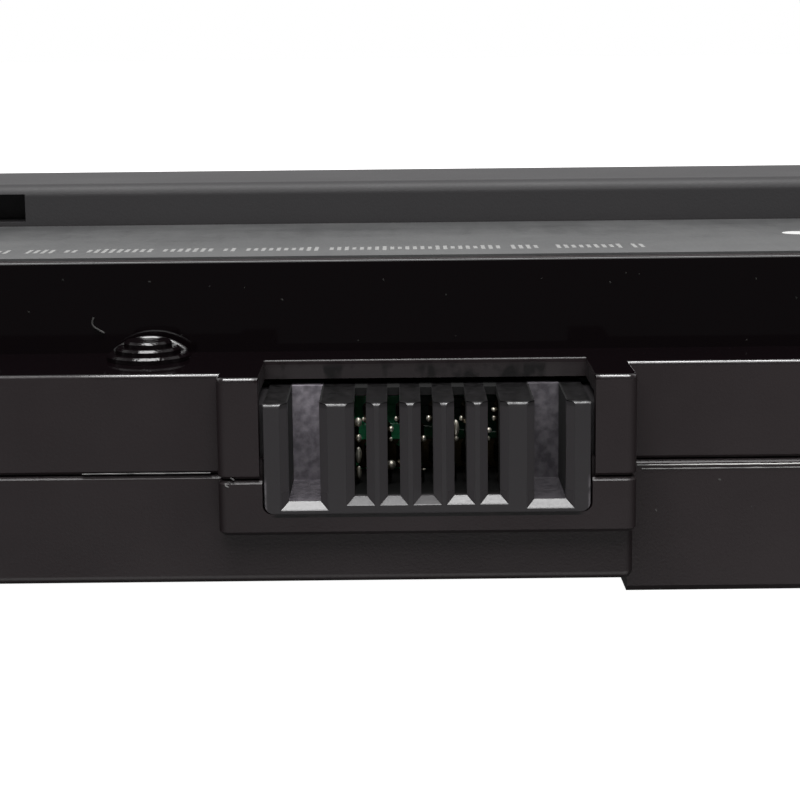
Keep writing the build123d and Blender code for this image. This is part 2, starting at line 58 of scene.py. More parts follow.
# places that several pieces share: boxes read off the frame, and steps of the shells measured from them
blockLow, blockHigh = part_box("connector_housing")
labelLow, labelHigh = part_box("rating_label")
boardLow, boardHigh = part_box("circuit_board")
shells = dict(
    bossReach=1.75 * mm, tongueReach=3.2 * mm, labelMargin=0.8 * mm,
    ledge=14.7 * mm, seam=8.45 * mm, blockHalf=9.8 * mm,
)
connectorX = (blockLow.x + blockHigh.x) / 2
bossY = cadLow.y
tongueY = bossY + shells["bossReach"]
mainY = tongueY + shells["tongueReach"]
glossY = labelLow.y - shells["labelMargin"]
ledgeZ, seamZ = shells["ledge"], shells["seam"]


# a socket that takes part in sums: each operator adds a Math node
class Wire:
    def __init__(self, owner, socket):
        self.owner, self.socket = owner, socket

    def maths(self, kind, first, second=0.0):
        return self.owner.node("ShaderNodeMath", {"operation": kind}, {0: first, 1: second})

    def __add__(self, other):
        return self.maths("ADD", self, other)

    def __radd__(self, other):
        return self.maths("ADD", other, self)

    def __sub__(self, other):
        return self.maths("SUBTRACT", self, other)

    def __rsub__(self, other):
        return self.maths("SUBTRACT", other, self)

    def __mul__(self, other):
        return self.maths("MULTIPLY", self, other)

    def __rmul__(self, other):
        return self.maths("MULTIPLY", other, self)

    def __pow__(self, other):
        return self.maths("POWER", self, other)

    def __abs__(self):
        return self.maths("ABSOLUTE", self)

    # 0 below the edge, 1 above it, soft over a span
    def above(self, edge, soft):
        return self.owner.node("ShaderNodeMapRange", {}, {0: self, 1: edge - soft / 2, 2: edge + soft / 2})

    def below(self, edge, soft):
        return 1 - self.above(edge, soft)

    def between(self, low, high, soft):
        return self.above(low, soft) * self.below(high, soft)

    # the same span over and over, each with 0 in its middle
    def wrapped(self, span):
        return self.owner.node("ShaderNodeMath", {"operation": "WRAP"}, {0: self, 1: span / 2, 2: -span / 2})


# any node of a tree: type, settings first, then socket values or links
class Tree:
    def node(self, kind, settings={}, values={}, out=0):
        made = self.tree.nodes.new(kind)
        for name, value in settings.items():
            setattr(made, name, value)
        for name, value in values.items():
            if isinstance(value, Wire):
                self.tree.links.new(value.socket, made.inputs[name])
            else:
                made.inputs[name].default_value = value
        return Wire(self, made.outputs[out]) if made.outputs else made


# a material that reads Object coordinates
class Finish(Tree):
    def __init__(self, name):
        self.material = bpy.data.materials.new(name)
        self.material.use_nodes = True
        self.tree = self.material.node_tree
        self.tree.nodes.clear()
        self.spot = self.node("ShaderNodeTexCoord", out="Object")
        parts = self.node("ShaderNodeSeparateXYZ", {}, {0: self.spot}).socket.node.outputs
        self.x, self.y, self.z = (Wire(self, part) for part in parts)

    def noise(self, grain, detail=2.0, stretch=(1, 1, 1)):
        spot = self.node("ShaderNodeMapping", {}, {"Vector": self.spot, "Scale": stretch})
        return self.node("ShaderNodeTexNoise", {}, {"Vector": spot, "Scale": 1 / grain, "Detail": detail})

    def cells(self, grain):
        return self.node("ShaderNodeTexVoronoi", {}, {"Vector": self.spot, "Scale": 1 / grain})

    # a Mix node in colour mode: its factor, its two colours and its colour output
    def blend(self, mask, low, high):
        return self.node("ShaderNodeMix", {"data_type": "RGBA"}, {0: mask, 6: low, 7: high}, 2)

    def bump(self, height, depth):
        return self.node("ShaderNodeBump", {}, {"Height": height, "Distance": depth, "Strength": 1.0})

    # Principled shader, its sockets named in camelCase
    def skin(self, **values):
        plain = {}
        for name, value in values.items():
            words = "".join(" " + letter if letter.isupper() else letter for letter in name)
            plain[(words[0].upper() + words[1:]).replace("Ior", "IOR")] = value
        return self.node("ShaderNodeBsdfPrincipled", {}, plain)

    def close(self, shader):
        self.node("ShaderNodeOutputMaterial", {}, {"Surface": shader})
        return self.material


def ink(red, green, blue):
    return (red, green, blue, 1.0)


def dress(material, *names):
    for name in names:
        slots = nodes[name].data.materials
        slots.clear()
        slots.append(material)


# moulded shells: fine matte grain, and a polished black wall and ledge in front of the label
shellLook = dict(
    matte=ink(0.0195, 0.0137, 0.0152), worn=ink(0.0315, 0.0235, 0.0250), band=ink(0.0475, 0.0455, 0.0478),
    grime=ink(0.002, 0.0016, 0.0018), dusty=ink(0.040, 0.034, 0.0355), gloss=ink(0.0044, 0.0025, 0.0033),
    grain=0.16 * mm, cloud=9 * mm, blot=1.3 * mm, soil=2.2 * mm, ripple=14 * mm, wobble=0.5 * mm,
    grainDepth=0.010 * mm, rippleDepth=0.02 * mm, wobbleShare=2.5,
    matteRough=0.40, glossRough=0.07, coatRough=0.22, coatIor=2.0,
    wornFrom=12 * mm, wornSpan=30 * mm, bandBack=1.6 * mm, bandEnds=2 * mm,
    roofDrop=1.7 * mm, roofHalf=10.3 * mm, edgeDrop=0.3 * mm, edgeFrom=19 * mm,
    jointShadeDrop=0.2 * mm, jointShadeInset=0.6 * mm,
)
# round steps on the ledge
pip = dict(x=connectorX - 17.4 * mm, y=glossY - 2.45 * mm, radius=2.6 * mm, rise=1.3 * mm)


def shellPlastic():
    f = Finish("shellPlastic")
    aside = abs(f.x - connectorX)
    grain = f.noise(shellLook["grain"], 3.0)
    cloud = f.noise(shellLook["cloud"], 3.0)
    # painted light: the shell paler towards the right of the connector, blended half and half with paler
    # random clouds
    paler = f.x.above(connectorX + shellLook["wornFrom"], shellLook["wornSpan"])
    paler = cloud.above(0.55, 0.5) * 0.5 + paler * 0.5
    colour = f.blend(paler, shellLook["matte"], shellLook["worn"])

    # raised band behind the label
    banded = f.y.between(labelHigh.y - mm, cadHigh.y - shellLook["bandBack"], mm)
    banded = banded * f.z.above(labelLow.z, 0.4 * mm)
    banded = banded * abs(f.x).below(cadHigh.x - shellLook["bandEnds"], 2 * mm)
    colour = f.blend(banded, colour, shellLook["band"])

    # paler face over the connector with dark blots on it, and painted shade in the joint below the block
    roof = f.z.between(ledgeZ - shellLook["roofDrop"], ledgeZ - shellLook["edgeDrop"], 0.5 * mm)
    roof = roof * aside.below(shellLook["roofHalf"], 2 * mm)
    roof = roof * f.y.between(tongueY - 0.1 * mm, glossY, 0.1 * mm)
    blot = f.noise(shellLook["blot"], 2.0, (1, 1, 0.6)).above(0.56, 0.1)
    # painted shade: a dark line along the joint where the block meets the shell
    jointShade = f.z.between(blockLow.z - shellLook["jointShadeDrop"], blockLow.z + 0.02 * mm, 0.03 * mm)
    jointShade = jointShade * f.y.below(tongueY - mm, 0.1 * mm)
    jointShade = jointShade * aside.below(shells["blockHalf"] - shellLook["jointShadeInset"], 0.4 * mm)
    soil = roof * blot * 0.85 + jointShade * f.noise(shellLook["soil"], 3.0).above(0.30, 0.2)
    colour = f.blend(roof * (1 - blot), colour, shellLook["dusty"])
    colour = f.blend(soil, colour, shellLook["grime"])

    # front edge of the ledge, rubbed bright
    rubbed = f.z.between(ledgeZ - shellLook["edgeDrop"], ledgeZ - 0.03 * mm, 0.04 * mm)
    rubbed = rubbed * f.x.above(connectorX - shellLook["edgeFrom"], 4 * mm) * f.y.below(glossY, mm)
    bright = rubbed * aside.above(shellLook["roofHalf"], 0.2 * mm)
    rough = shellLook["matteRough"] + (cloud - 0.5) * 0.12 + (grain - 0.5) * 0.1
    rough = rough - rubbed * 0.26 + banded * 0.14 + roof * blot * 0.4
    matte = f.skin(
        baseColor=colour, roughness=rough, normal=f.bump(grain, shellLook["grainDepth"]),
        coatWeight=bright, coatRoughness=shellLook["coatRough"], coatIor=shellLook["coatIor"],
    )

    # polished wall and ledge, uneven on the pip
    ripple = f.noise(shellLook["ripple"], 1.0)
    raised = ((f.x - pip["x"]) ** 2 + (f.y - pip["y"]) ** 2) ** 0.5
    raised = raised.below(pip["radius"] + 0.03 * mm, 0.02 * mm) * f.y.below(glossY - 0.05 * mm, 0.04 * mm)
    raised = raised * f.z.between(ledgeZ + 0.02 * mm, ledgeZ + pip["rise"] + 0.15 * mm, 0.02 * mm)
    wobble = f.noise(shellLook["wobble"], 2.0) * raised
    gloss = f.skin(
        baseColor=shellLook["gloss"],
        roughness=shellLook["glossRough"] + (cloud - 0.4) * 0.04 + raised * 0.12,
        normal=f.bump(ripple + wobble * shellLook["wobbleShare"], shellLook["rippleDepth"]),
    )
    polished = f.z.above(ledgeZ - 0.04 * mm, 0.02 * mm) * f.y.below(glossY + 0.12 * mm, 0.06 * mm)
    return f.close(f.node("ShaderNodeMixShader", {}, {0: polished, 1: matte, 2: gloss}))


# label: satin black film, laid on not quite flat
labelLook = dict(
    film=ink(0.080, 0.081, 0.083), smeared=ink(0.118, 0.119, 0.120), rough=0.36, depth=0.03 * mm,
    grain=0.12 * mm, smear=6 * mm, bubble=2.4 * mm, crease=1.6 * mm,
)


def labelFilm():
    f = Finish("labelFilm")
    grain = f.noise(labelLook["grain"], 2.0)
    smear = f.noise(labelLook["smear"], 4.0, (0.5, 1, 1))
    bubble = f.noise(labelLook["bubble"], 2.0)
    crease = f.noise(labelLook["crease"], 3.0, (1, 0.22, 1))
    colour = f.blend(smear.above(0.5, 0.4), labelLook["film"], labelLook["smeared"])
    rough = labelLook["rough"] + (smear - 0.5) * 0.25 + (crease - 0.5) * 0.3 + (grain - 0.5) * 0.06
    height = bubble + crease * 0.5 + grain * 0.12
    return f.close(f.skin(baseColor=colour, roughness=rough, normal=f.bump(height, labelLook["depth"])))


# connector block: dark grey resin, paler and rough on the closed backs of the guide slots, painted shade deep
# in the slots
blockLook = dict(
    resin=ink(0.041, 0.038, 0.0405), mouth=ink(0.061, 0.0565, 0.060), edge=ink(0.15, 0.14, 0.15),
    pit=ink(0.002, 0.002, 0.002), sooty=ink(0.016, 0.015, 0.016),
    back=ink(0.34, 0.315, 0.35), blotched=ink(0.165, 0.15, 0.175), dull=0.52,
    guideOffset=7.37 * mm, guideHalf=0.97 * mm, guideDepth=6.4 * mm, guideFloor=7.16 * mm,
    pitch=2.0 * mm, slots=5, slotHalf=0.385 * mm, mouthDepth=0.7 * mm, pitDepth=0.9 * mm,
    topDrop=0.07 * mm, bevel=0.3 * mm, sillHeight=1.3 * mm,
    grain=0.2 * mm, blotch=0.5 * mm, depth=0.03 * mm, rough=0.34, coatRough=0.25, coatIor=1.6,
)


def blockResin():
    f = Finish("blockResin")
    grain = f.noise(blockLook["grain"], 3.0)
    blotch = f.noise(blockLook["blotch"], 4.0)
    patchy = blotch.above(0.5, 0.3)
    across = f.x - connectorX

    # backs and floors of the guide slots, the right one duller
    aside = abs(abs(across) - blockLook["guideOffset"])
    guide = aside.below(blockLook["guideHalf"], 0.02 * mm)
    back = guide * f.y.above(blockLow.y + blockLook["guideDepth"] - 0.05 * mm, 0.04 * mm)
    floored = guide * f.y.above(blockLow.y + 0.6 * mm, 0.1 * mm)
    floored = floored * f.z.below(blockLook["guideFloor"], 0.04 * mm)
    shade = (back + floored * (1 - back) * 0.5) * (1 - f.x.above(connectorX, mm) * blockLook["dull"])
    pale = f.blend(patchy, blockLook["back"], blockLook["blotched"])

    # painted shade on the top, a painted highlight in blotches on the ends, painted shade deep in the slots,
    # lead-ins painted paler as if lit
    # painted shade: the block's top darkened
    shadedTop = f.z.above(blockHigh.z - blockLook["topDrop"], 0.06 * mm) * (1 - back)
    resin = f.blend(shadedTop, blockLook["resin"], f.blend(patchy, blockLook["pit"], blockLook["sooty"]))
    # painted highlight: pale blotches on the block's ends below the seam
    rim = abs(across).above(shells["blockHalf"] - 0.16 * mm, 0.1 * mm) * blotch.above(0.42, 0.2)
    rim = rim * f.z.below(seamZ, 0.5 * mm)
    resin = f.blend(rim, resin, blockLook["edge"])
    slot = abs(across.wrapped(blockLook["pitch"])).below(blockLook["slotHalf"], 0.02 * mm)
    slot = slot * abs(across).below(blockLook["slots"] / 2 * blockLook["pitch"], 0.02 * mm)
    walled = aside.below(blockLook["guideHalf"] + 0.08 * mm, 0.02 * mm)
    walled = walled * f.z.above(blockLook["guideFloor"], 0.04 * mm)
    # painted shade: deep inside the contact slots and on the guide-slot walls, past the mouths
    deep = (slot + walled) * f.y.above(blockLow.y + blockLook["pitDepth"], 0.2 * mm)
    resin = f.blend(deep, resin, blockLook["pit"])
    # painted light: the lead-in faces painted paler than the resin, as if lit
    mouth = f.y.between(blockLow.y + 0.012 * mm, blockLow.y + blockLook["mouthDepth"], 0.016 * mm)
    mouth = mouth * f.z.below(blockHigh.z - blockLook["bevel"], 0.1 * mm)
    colour = f.blend(shade, f.blend(mouth, resin, blockLook["mouth"]), pale)
    height = grain * (1 - back) * 0.25 + blotch * back

    # sills polished by use, less so in the middle, and bevels worn bright
    sill = f.z.below(blockLow.z + blockLook["sillHeight"], 0.2 * mm)
    sill = sill * f.y.above(blockLow.y + 0.05 * mm, 0.04 * mm)
    dulled = f.x.between(connectorX - 5 * mm, connectorX + mm, 0.3 * mm) * 0.155
    dulled = dulled + f.x.between(connectorX - mm, connectorX + mm, 0.3 * mm) * 0.17
    clean = f.x.below(connectorX - 6 * mm, 0.3 * mm) * 0.05 + 0.12
    worn = f.z.above(blockHigh.z - blockLook["bevel"], 0.04 * mm)
    worn = worn * f.y.below(blockLow.y + blockLook["bevel"], 0.1 * mm) * blotch.above(0.45, 0.2)
    rough = blockLook["rough"] + back * 0.35 + deep * (1 - back) * 0.5
    rough = rough + sill * (dulled - clean) + (grain - 0.5) * 0.1
    return f.close(f.skin(
        baseColor=colour, roughness=rough, normal=f.bump(height, blockLook["depth"]),
        coatWeight=worn, coatRoughness=blockLook["coatRough"], coatIor=blockLook["coatIor"],
    ))


# contacts: dark bronze strip, and a pale plating for beads that stand where glints fall, plated metal with a
# painted glint
contactLook = dict(
    bronze=ink(0.20, 0.15, 0.085), dark=ink(0.10, 0.08, 0.05), tarnish=0.5 * mm,
    plate=ink(0.95, 0.93, 0.84), yellowed=ink(0.88, 0.83, 0.68), rub=0.15 * mm, plateMetal=0.72,
)


def contactBronze():
    f = Finish("contactBronze")
    tarnish = f.noise(contactLook["tarnish"], 3.0)
    colour = f.blend(tarnish, contactLook["bronze"], contactLook["dark"])
    return f.close(f.skin(baseColor=colour, metallic=1.0, roughness=0.14 + tarnish * 0.16))


def glintPlating():
    f = Finish("glintPlating")
    rub = f.noise(contactLook["rub"], 2.0)
    colour = f.blend(rub, contactLook["plate"], contactLook["yellowed"])
    return f.close(f.skin(baseColor=colour, metallic=contactLook["plateMetal"], roughness=0.30 + rub * 0.16))


# board: green mask over copper runs and brighter green on the left, bare glass laminate at the edges
boardLook = dict(
    mask=ink(0.006, 0.060, 0.026), run=ink(0.010, 0.095, 0.040), pour=ink(0.09, 0.80, 0.36),
    edge=ink(0.30, 0.29, 0.15), glass=ink(0.22, 0.23, 0.11),
    pitch=1.27 * mm, wander=6 * mm, sway=2.5 * mm, weave=0.35 * mm, depth=0.03 * mm,
    pourFrom=9 * mm, pourTo=1.1 * mm, skinDepth=0.06 * mm,
)


def boardLaminate():
    f = Finish("boardLaminate")
    wander = f.noise(boardLook["wander"], 1.0, (0.5, 1, 1))
    lanes = f.node("ShaderNodeMath", {"operation": "PINGPONG"}, {
        0: f.z + wander * boardLook["sway"], 1: boardLook["pitch"] / 2})
    run = lanes.above(boardLook["pitch"] * 0.28, 0.05 * mm)
    weave = f.noise(boardLook["weave"], 1.0, (1, 1, 0.35))
    pour = f.x.between(connectorX - boardLook["pourFrom"], connectorX - boardLook["pourTo"], 0.3 * mm)
    face = f.blend(pour, f.blend(run, boardLook["mask"], boardLook["run"]), boardLook["pour"])
    inside = f.y.between(boardLow.y + boardLook["skinDepth"], boardHigh.y - boardLook["skinDepth"], 0.02 * mm)
    colour = f.blend(inside, face, f.blend(weave, boardLook["edge"], boardLook["glass"]))
    height = run * 0.8 + weave * 0.2
    normal = f.bump(height, boardLook["depth"])
    return f.close(f.skin(baseColor=colour, roughness=0.24 + inside * 0.4, normal=normal))


# chips: moulded resin with a pale ring for the first pin, tinned legs
chipLook = dict(
    resin=ink(0.013, 0.013, 0.014), grey=ink(0.028, 0.028, 0.030), ring=ink(0.22, 0.22, 0.22),
    tin=ink(0.70, 0.69, 0.66), grain=0.11 * mm, depth=0.008 * mm,
    ringX=1.1 * mm, ringZ=1.9 * mm, ringInner=0.26 * mm, ringOuter=0.38 * mm, leg=1.0 * mm,
)


def chipResin(name):
    low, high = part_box(name)
    f = Finish("chipResin_" + name)
    grain = f.noise(chipLook["grain"], 2.0)
    flat = ((f.x - (low.x + chipLook["ringX"])) ** 2 + (f.z - (low.z + chipLook["ringZ"])) ** 2) ** 0.5
    ring = flat.between(chipLook["ringInner"], chipLook["ringOuter"], 0.04 * mm)
    leg = 1 - f.z.between(low.z + chipLook["leg"], high.z - chipLook["leg"], 0.02 * mm)
    body = f.blend(ring, f.blend(grain, chipLook["resin"], chipLook["grey"]), chipLook["ring"])
    colour = f.blend(leg, body, chipLook["tin"])
    rough = 0.55 - leg * 0.27 + (grain - 0.5) * 0.12
    normal = f.bump(grain, chipLook["depth"])
    return f.close(f.skin(baseColor=colour, metallic=leg, roughness=rough, normal=normal))


# small board parts: a body between two tinned ends, repeated along x
endsLook = dict(
    tin=ink(0.72, 0.71, 0.68), speck=0.25 * mm, depth=0.01 * mm, dim=0.72, bodyShare=0.29, softShare=0.04,
)
endsRows = {
    "chip_capacitors": dict(body=ink(0.36, 0.25, 0.15), length=1.6 * mm, spacing=2.6 * mm, count=2),
    "chip_resistors": dict(body=ink(0.012, 0.012, 0.014), length=1.6 * mm, spacing=2.6 * mm, count=3),
    "sense_resistor": dict(body=ink(0.014, 0.014, 0.016), length=6.3 * mm, spacing=9 * mm, count=1),
}


def tinnedEnds(name, body, length, spacing, count):
    low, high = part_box(name)
    f = Finish("tinnedEnds_" + name)
    middle = (low.x + high.x) / 2 + (0 if count % 2 else spacing / 2)
    along = abs((f.x - middle).wrapped(spacing))
    end = along.above(length * endsLook["bodyShare"], length * endsLook["softShare"])
    speck = f.noise(endsLook["speck"], 3.0)
    dark = ink(*(endsLook["dim"] * part for part in body[:3]))
    colour = f.blend(end, f.blend(speck, body, dark), endsLook["tin"])
    rough = 0.42 - end * 0.12 + (speck - 0.5) * 0.2
    normal = f.bump(speck, endsLook["depth"])
    return f.close(f.skin(baseColor=colour, metallic=end, roughness=rough, normal=normal))


# cells: shrunk sleeve on the side, folded over the shoulder of a plated steel end
cellLook = dict(
    sleeve=ink(0.035, 0.20, 0.34), faded=ink(0.050, 0.25, 0.40),
    steel=ink(0.60, 0.60, 0.58), scuffed=ink(0.48, 0.48, 0.47),
    steelRadius=7.3 * mm, crease=5 * mm, scuff=0.4 * mm, depth=0.15 * mm,
)


def cellSleeve(name):
    low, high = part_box(name)
    f = Finish("cellSleeve_" + name)
    axisY, axisZ = (low.y + high.y) / 2, (low.z + high.z) / 2
    out = ((f.y - axisY) ** 2 + (f.z - axisZ) ** 2) ** 0.5
    steel = out.below(cellLook["steelRadius"], 0.12 * mm)
    crease = f.noise(cellLook["crease"], 3.0, (0.25, 1, 1))
    sleeve = f.blend(crease.above(0.5, 0.5), cellLook["sleeve"], cellLook["faded"])
    scuff = f.noise(cellLook["scuff"], 3.0)
    colour = f.blend(steel, sleeve, f.blend(scuff, cellLook["steel"], cellLook["scuffed"]))
    rough = 0.30 + (scuff - 0.5) * 0.2
    normal = f.bump(crease, cellLook["depth"])
    return f.close(f.skin(baseColor=colour, metallic=steel, roughness=rough, normal=normal))


# straps and leads: drawn nickel strip, a little stained
nickelLook = dict(
    bare=ink(0.66, 0.63, 0.57), stained=ink(0.56, 0.53, 0.47),
    drawn=0.12 * mm, stain=4 * mm, depth=0.004 * mm,
)


def nickelStrip():
    f = Finish("nickelStrip")
    drawn = f.noise(nickelLook["drawn"], 3.0, (1, 1, 0.05))
    stain = f.noise(nickelLook["stain"], 3.0)
    colour = f.blend(stain, nickelLook["bare"], nickelLook["stained"])
    normal = f.bump(drawn, nickelLook["depth"])
    return f.close(f.skin(baseColor=colour, metallic=1.0, roughness=0.28 + drawn * 0.16, normal=normal))


# thermal fuse: wrapped body between bare leads
fuseLook = dict(
    wrap=ink(0.32, 0.25, 0.15), fold=ink(0.40, 0.33, 0.21), grain=0.3 * mm, depth=0.02 * mm,
    offset=80 * mm, half=5.5 * mm, leadHalf=1.01 * mm,
)


def fuseWrap():
    low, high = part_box("thermal_fuse")
    f = Finish("fuseWrap")
    grain = f.noise(fuseLook["grain"], 3.0)
    middle = (low.z + high.z) / 2
    leads = f.z.between(middle - fuseLook["leadHalf"], middle + fuseLook["leadHalf"], 0.02 * mm)
    bare = leads * abs(f.x - (connectorX + fuseLook["offset"])).above(fuseLook["half"], 0.04 * mm)
    colour = f.blend(bare, f.blend(grain, fuseLook["wrap"], fuseLook["fold"]), nickelLook["bare"])
    normal = f.bump(grain, fuseLook["depth"])
    return f.close(f.skin(baseColor=colour, metallic=bare, roughness=0.55 - bare * 0.2, normal=normal))


# thermistor: a dipped bead
beadLook = dict(resin=ink(0.010, 0.011, 0.013), thin=ink(0.022, 0.023, 0.026), sag=0.8 * mm, depth=0.05 * mm)


def beadResin():
    f = Finish("beadResin")
    sag = f.noise(beadLook["sag"], 2.0)
    colour = f.blend(sag, beadLook["resin"], beadLook["thin"])
    normal = f.bump(sag, beadLook["depth"])
    return f.close(f.skin(baseColor=colour, roughness=0.22 + sag * 0.15, normal=normal))


# board shield: fibrous insulating card
cardLook = dict(card=ink(0.11, 0.13, 0.14), fibres=ink(0.17, 0.19, 0.20), fibre=0.5 * mm, depth=0.03 * mm)


def shieldCard():
    f = Finish("shieldCard")
    fibre = f.noise(cardLook["fibre"], 4.0, (0.25, 1, 1))
    colour = f.blend(fibre, cardLook["card"], cardLook["fibres"])
    normal = f.bump(fibre, cardLook["depth"])
    return f.close(f.skin(baseColor=colour, roughness=0.78 + (fibre - 0.5) * 0.2, normal=normal))


# end pads: black foam, the pore hollows painted darker as painted shade
foamLook = dict(
    hollow=ink(0.012, 0.012, 0.013), wall=ink(0.045, 0.045, 0.047), pore=0.55 * mm, depth=0.2 * mm,
)


def padFoam():
    f = Finish("padFoam")
    pore = f.cells(foamLook["pore"])
    colour = f.blend(pore.above(0.45, 0.5), foamLook["hollow"], foamLook["wall"])
    return f.close(f.skin(baseColor=colour, roughness=0.92, normal=f.bump(pore, foamLook["depth"])))


# chemical fuse: pale moulded body
paleLook = dict(resin=ink(0.42, 0.41, 0.37), chalky=ink(0.55, 0.54, 0.50), grain=0.2 * mm, depth=0.01 * mm)


def fuseResin():
    f = Finish("fuseResin")
    grain = f.noise(paleLook["grain"], 3.0)
    colour = f.blend(grain, paleLook["resin"], paleLook["chalky"])
    return f.close(f.skin(baseColor=colour, roughness=0.5, normal=f.bump(grain, paleLook["depth"])))


dress(shellPlastic(), "bottom_case", "top_cover")
dress(labelFilm(), "rating_label")
dress(blockResin(), "connector_housing")
contactNames = [name for name in nodes if name.startswith("contact_")]
slotMiddles = sorted((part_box(name)[0].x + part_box(name)[1].x) / 2 for name in contactNames)
dress(contactBronze(), *contactNames)
dress(boardLaminate(), "circuit_board")
for name in ("gauge_chip", "protection_chip", "charge_transistor", "discharge_transistor"):
    dress(chipResin(name), name)
for name, row in endsRows.items():
    dress(tinnedEnds(name, **row), name)
dress(fuseResin(), "chemical_fuse")
for name in nodes:
    if name.startswith("cell_"):
        dress(cellSleeve(name), name)
dress(nickelStrip(), *[name for name in nodes if name.startswith(("strap_", "lead_"))])
dress(fuseWrap(), "thermal_fuse")
dress(beadResin(), "thermistor")
dress(shieldCard(), "board_shield")
dress(padFoam(), "end_pad_left", "end_pad_right")
print("finishes on the frame done")


# a Geometry Nodes tree with named inputs, grown once and kept as a plain mesh
class Growth(Tree):
    kinds = {int: "NodeSocketInt", float: "NodeSocketFloat", tuple: "NodeSocketVector"}

    def __init__(self, name, **inputs):
        self.name, self.values = name, inputs
        self.tree = bpy.data.node_groups.new(name, "GeometryNodeTree")
        self.sockets = {
            key: self.tree.interface.new_socket(key, in_out="INPUT", socket_type=self.kinds[type(value)])
            for key, value in inputs.items()
        }
        self.tree.interface.new_socket("Geometry", in_out="OUTPUT", socket_type="NodeSocketGeometry")
        given = self.tree.nodes.new("NodeGroupInput")
        self.given = {key: Wire(self, given.outputs[key]) for key in inputs}

    # the float sockets of a Random Value node
    def chance(self, low, high, seed):
        values = {2: low, 3: high, "Seed": seed}
        return self.node("FunctionNodeRandomValue", {"data_type": "FLOAT"}, values, 1)

    def vector(self, x, y, z):
        return self.node("ShaderNodeCombineXYZ", {}, {0: x, 1: y, 2: z})

    def join(self, *parts):
        both = self.node("GeometryNodeJoinGeometry")
        for part in parts:
            self.tree.links.new(part.socket, both.socket.node.inputs[0])
        return both

    def grow(self, shape, material, slot):
        shape = self.node("GeometryNodeRealizeInstances", {}, {0: shape})
        shape = self.node("GeometryNodeSetMaterial", {}, {"Geometry": shape, "Material": material})
        self.node("NodeGroupOutput", {}, {0: shape})
        piece = bpy.data.objects.new(self.name, bpy.data.meshes.new(self.name))
        scene.collection.objects.link(piece)
        work = piece.modifiers.new("grow", "NODES")
        work.node_group = self.tree
        for key, socket in self.sockets.items():
            work[socket.identifier] = self.values[key]
        graph = bpy.context.evaluated_depsgraph_get()
        mesh = bpy.data.meshes.new_from_object(piece.evaluated_get(graph))
        piece.modifiers.remove(work)
        piece.data = mesh
        settle(piece)


# a bmesh kept as a piece of its own
def keep(name, form, material):
    mesh = bpy.data.meshes.new(name)
    form.to_mesh(mesh)
    form.free()
    mesh.materials.append(material)
    piece = bpy.data.objects.new(name, mesh)
    scene.collection.objects.link(piece)
    settle(piece)


def settle(piece):
    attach(piece, "root")
    print(piece.name, len(piece.data.polygons), "faces")


# specks of dust on the polished wall and on the main front to the right of the connector
dust = dict(
    low=0.03 * mm, high=0.075 * mm, long=1.7, thin=0.35, seed=7,
    ends=6 * mm, onWall=70, wallInset=0.4 * mm, onFront=60, frontInset=0.8 * mm, frontFrom=14 * mm,
    shade=0.3 * mm, rough=0.9,
    dark=ink(0.008, 0.0075, 0.007), pale=ink(0.038, 0.036, 0.034), white=ink(0.12, 0.118, 0.115),
)


def dustFinish(name, dark, pale):
    f = Finish(name)
    shade = f.noise(dust["shade"], 2.0)
    return f.close(f.skin(baseColor=f.blend(shade.above(0.5, 0.4), dark, pale), roughness=dust["rough"]))


def dustSpecks(name, wallY, left, right, low, high, count, material):
    wide, tall = right - left, high - low
    g = Growth(name, width=wide, height=tall, density=count / (wide * tall),
               low=dust["low"], high=dust["high"], seed=dust["seed"])
    sheet = g.node("GeometryNodeMeshGrid", {}, {0: g.given["width"], 1: g.given["height"], 2: 2, 3: 2})
    points = g.node("GeometryNodeDistributePointsOnFaces", {}, {
        "Mesh": sheet, "Density": g.given["density"], "Seed": g.given["seed"]})
    speck = g.node("GeometryNodeMeshIcoSphere", {}, {"Radius": 1.0, "Subdivisions": 1})
    size = g.chance(g.given["low"], g.given["high"], g.given["seed"])
    spin = g.vector(0.0, 0.0, g.chance(0.0, math.pi, g.given["seed"]))
    flat = g.vector(size * dust["long"], size, size * dust["thin"])
    spots = g.node("GeometryNodeInstanceOnPoints", {}, {
        "Points": points, "Instance": speck, "Rotation": spin, "Scale": flat})
    stood = g.node("GeometryNodeTransform", {}, {
        "Geometry": spots, "Rotation": (math.pi / 2, 0.0, 0.0),
        "Translation": ((left + right) / 2, wallY, (low + high) / 2)})
    g.grow(stood, material, "case_plastic")


dustSpecks(
    "dustOnWall", glossY, cadLow.x + dust["ends"], cadHigh.x - dust["ends"],
    ledgeZ + dust["wallInset"], labelLow.z - dust["wallInset"],
    dust["onWall"], dustFinish("dustGrey", dust["dark"], dust["pale"]),
)
dustSpecks(
    "dustOnFront", mainY, connectorX + dust["frontFrom"], cadHigh.x - dust["ends"],
    dust["frontInset"], seamZ - dust["frontInset"],
    dust["onFront"], dustFinish("dustPale", dust["pale"], dust["white"]),
)

# generic print on the label: one row of short pale ticks in groups, and a dot
printRow = dict(
    start=-84 * mm, end=-4.8 * mm, back=4.3 * mm, pitch=0.50 * mm,
    width=0.26 * mm, low=1.4 * mm, high=2.5 * mm, thick=0.01 * mm, share=0.66, stride=0.37, seed=5,
    dot=6.3 * mm, dotBack=7.5 * mm, dotRadius=1.1 * mm,
    pale=ink(0.50, 0.50, 0.49), faint=ink(0.25, 0.25, 0.245), white=ink(0.86, 0.86, 0.85), patch=0.4 * mm,
)


def printFinish():
    f = Finish("printGrey")
    patch = f.noise(printRow["patch"], 3.0)
    grey = f.blend(patch, printRow["faint"], printRow["pale"])
    dot = f.x.above((printRow["end"] + printRow["dot"]) / 2, mm)
    return f.close(f.skin(baseColor=f.blend(dot, grey, printRow["white"]), roughness=0.5))


